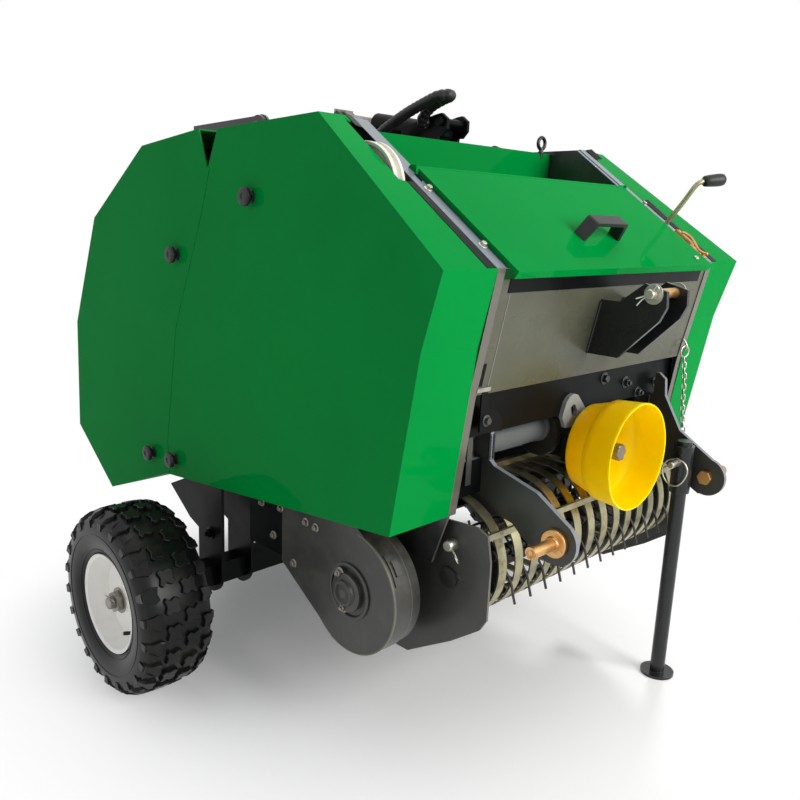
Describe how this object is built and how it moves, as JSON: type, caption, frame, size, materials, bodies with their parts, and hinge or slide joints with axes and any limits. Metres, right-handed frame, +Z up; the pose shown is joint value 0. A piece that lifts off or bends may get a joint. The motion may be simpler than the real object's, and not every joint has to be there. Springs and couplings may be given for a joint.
{
  "type": "mini round baler for a three-point hitch",
  "caption": "Compact round baler on two wheels and a stand: tined pickup, cone-guarded input shaft, twine box with lid and a rear gate that swings up.",
  "frame": {"origin": "on the floor, below the centre of the overall box", "axes": "-Y to the front, where the tractor couples; +Z up; -X is the machine's right side"},
  "size_m": [1.486, 1.432, 1.2947],
  "materials": {
    "green_paint": "gloss",
    "black_paint": "gloss",
    "flange_grey": "gloss",
    "yellow_plastic": "gloss",
    "galvanised": "satin",
    "zinc_gold": "satin",
    "grey_cast": "satin",
    "bright_steel": "satin",
    "tyre_rubber": "matte",
    "rim_cream": "satin",
    "white_nylon": "matte",
    "black_plastic": "matte"
  },
  "bodies": {
    "frame": {"frame_sides": "black_paint", "front_panel": "black_paint", "front_beam": "black_paint", "clutch_housing": "black_paint", "casting_ear": "grey_cast", "gearbox_carrier": "flange_grey", "gate_hose": "black_plastic", "link_chain": "galvanised", "twine_box": "green_paint", "top_deck": "black_paint", "floor_plate": "black_paint", "axle_beam": "black_paint", "axle_legs": "black_paint", "hitch_plates": "black_paint", "hitch_pins": "zinc_gold", "top_link_bracket": "black_paint", "top_link_pin": "zinc_gold", "stand_sleeve": "black_paint", "gearbox": "black_paint", "drive_tube": "grey_cast", "pto_shield": "yellow_plastic", "drive_case": "black_paint", "pickup_sides": "black_paint", "pickup_bands": "galvanised", "side_shell_right": "green_paint", "side_shell_left": "green_paint", "shell_knobs": "black_plastic", "rope_wheel": "white_nylon", "control_lever": "black_paint", "lid_catch": "zinc_gold", "lifting_eye": "black_paint", "cylinder_bracket": "black_paint"},
    "gate": {"gate_sides": "black_paint", "gate_wrap": "black_paint", "gate_shell_right": "green_paint", "gate_shell_left": "green_paint", "gate_knobs": "black_plastic"},
    "cylinder_barrel": {"cylinder_barrel": "black_paint"},
    "cylinder_rod": {"cylinder_rod": "bright_steel"},
    "lid": {"lid": "green_paint", "lid_handle": "black_plastic"},
    "stand_leg": {"stand_leg": "black_paint"},
    "pto_shaft": {"pto_shaft": "bright_steel"},
    "pickup_reel": {"pickup_reel": "bright_steel"},
    "feed_roller": {"feed_roller": "black_paint"},
    "floor_roller": {"floor_roller": "black_paint"},
    "wheel_right": {"tyre_right": "tyre_rubber", "rim_right": "rim_cream"},
    "wheel_left": {"tyre_left": "tyre_rubber", "rim_left": "rim_cream"}
  },
  "joints": [
    {"name": "wheel_right_spin", "type": "hinge", "parent": "frame", "child": "wheel_right", "pos_m": [-0.664, 0.132, 0.203], "axis": [1, 0, 0], "continuous": true},
    {"name": "wheel_left_spin", "type": "hinge", "parent": "frame", "child": "wheel_left", "pos_m": [0.664, 0.132, 0.203], "axis": [1, 0, 0], "continuous": true},
    {"name": "gate_hinge", "type": "hinge", "parent": "frame", "child": "gate", "pos_m": [0, 0.066, 1.195], "axis": [1, 0, 0], "range_deg": [0, 60]},
    {"name": "cylinder_swing", "type": "hinge", "parent": "frame", "child": "cylinder_barrel", "pos_m": [0, -0.085, 1.212], "axis": [1, 0, 0], "range_deg": [-0.5, 35.56]},
    {"name": "cylinder_rod_slide", "type": "slide", "parent": "cylinder_barrel", "child": "cylinder_rod", "axis": [0, 0.989, 0.1476], "range_m": [-0.0845, 0.001]},
    {"name": "lid_hinge", "type": "hinge", "parent": "frame", "child": "lid", "pos_m": [0, -0.3588, 1.10989], "axis": [-1, 0, 0], "range_deg": [0, 150]},
    {"name": "stand_slide", "type": "slide", "parent": "frame", "child": "stand_leg", "axis": [0, 0, 1], "range_m": [0, 0.3]},
    {"name": "feed_roller_spin", "type": "hinge", "parent": "frame", "child": "feed_roller", "pos_m": [0, -0.355, 0.575], "axis": [1, 0, 0], "continuous": true},
    {"name": "floor_roller_spin", "type": "hinge", "parent": "frame", "child": "floor_roller", "pos_m": [0, -0.275, 0.456], "axis": [1, 0, 0], "continuous": true},
    {"name": "pickup_reel_spin", "type": "hinge", "parent": "frame", "child": "pickup_reel", "pos_m": [0, -0.498, 0.382], "axis": [1, 0, 0], "continuous": true},
    {"name": "pto_spin", "type": "hinge", "parent": "frame", "child": "pto_shaft", "pos_m": [0, -0.6, 0.584], "axis": [0, 1, 0], "continuous": true}
  ],
  "couplings": [
    {"joint": "cylinder_swing", "follows": "gate_hinge", "ratio": 0.58437},
    {"joint": "cylinder_rod_slide", "follows": "gate_hinge", "m_per_rad": -0.079725},
    {"joint": "floor_roller_spin", "follows": "feed_roller_spin", "ratio": -1},
    {"joint": "pickup_reel_spin", "follows": "feed_roller_spin", "ratio": -0.75},
    {"joint": "pto_spin", "follows": "feed_roller_spin", "ratio": 3}
  ]
}
